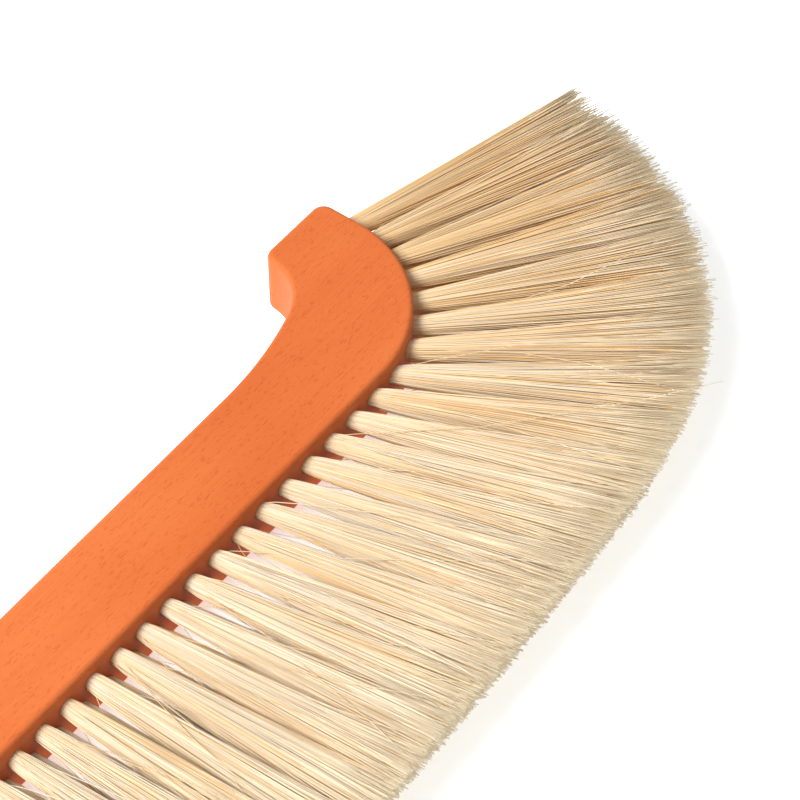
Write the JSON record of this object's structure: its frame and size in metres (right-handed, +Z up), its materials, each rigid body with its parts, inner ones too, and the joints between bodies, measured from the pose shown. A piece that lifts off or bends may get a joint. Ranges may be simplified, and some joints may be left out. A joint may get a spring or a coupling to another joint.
{
  "type": "bee brush",
  "caption": "Bee brush lying on its side: a stained wooden handle with a hooked tip, and two staggered rows of long soft bristle tufts along one edge.",
  "frame": {"origin": "on the surface that the brush lies on, under the middle of the whole brush, bristles included", "axes": "+X along the handle towards the hooked tip, +Y from the bristle edge to the spine so that the bristles point to -Y, +Z up through the board's thickness"},
  "size_m": [0.422, 0.1045, 0.016],
  "materials": {
    "stained_wood": "orange-stained close-grained beech with short dark flecks, satin, slightly worn on its edges",
    "bristle": "fine cream to straw coloured synthetic filament with a soft sheen",
    "anchor_wire": "flat drawn wire, dull"
  },
  "bodies": {
    "root": {"handle": "stained_wood", "anchors_upper": "anchor_wire", "anchors_lower": "anchor_wire", "tuft_upper_01": "bristle", "tuft_upper_02": "bristle", "tuft_upper_03": "bristle", "tuft_upper_04": "bristle", "tuft_upper_05": "bristle", "tuft_upper_06": "bristle", "tuft_upper_07": "bristle", "tuft_upper_08": "bristle", "tuft_upper_09": "bristle", "tuft_upper_10": "bristle", "tuft_upper_11": "bristle", "tuft_upper_12": "bristle", "tuft_upper_13": "bristle", "tuft_upper_14": "bristle", "tuft_upper_15": "bristle", "tuft_upper_16": "bristle", "tuft_upper_17": "bristle", "tuft_upper_18": "bristle", "tuft_upper_19": "bristle", "tuft_upper_20": "bristle", "tuft_upper_21": "bristle", "tuft_upper_22": "bristle", "tuft_upper_23": "bristle", "tuft_upper_24": "bristle", "tuft_upper_25": "bristle", "tuft_upper_26": "bristle", "tuft_upper_27": "bristle", "tuft_upper_28": "bristle", "tuft_upper_29": "bristle", "tuft_lower_01": "bristle", "tuft_lower_02": "bristle", "tuft_lower_03": "bristle", "tuft_lower_04": "bristle", "tuft_lower_05": "bristle", "tuft_lower_06": "bristle", "tuft_lower_07": "bristle", "tuft_lower_08": "bristle", "tuft_lower_09": "bristle", "tuft_lower_10": "bristle", "tuft_lower_11": "bristle", "tuft_lower_12": "bristle", "tuft_lower_13": "bristle", "tuft_lower_14": "bristle", "tuft_lower_15": "bristle", "tuft_lower_16": "bristle", "tuft_lower_17": "bristle", "tuft_lower_18": "bristle", "tuft_lower_19": "bristle", "tuft_lower_20": "bristle", "tuft_lower_21": "bristle", "tuft_lower_22": "bristle", "tuft_lower_23": "bristle", "tuft_lower_24": "bristle", "tuft_lower_25": "bristle", "tuft_lower_26": "bristle", "tuft_lower_27": "bristle", "tuft_lower_28": "bristle"}
  },
  "joints": []
}
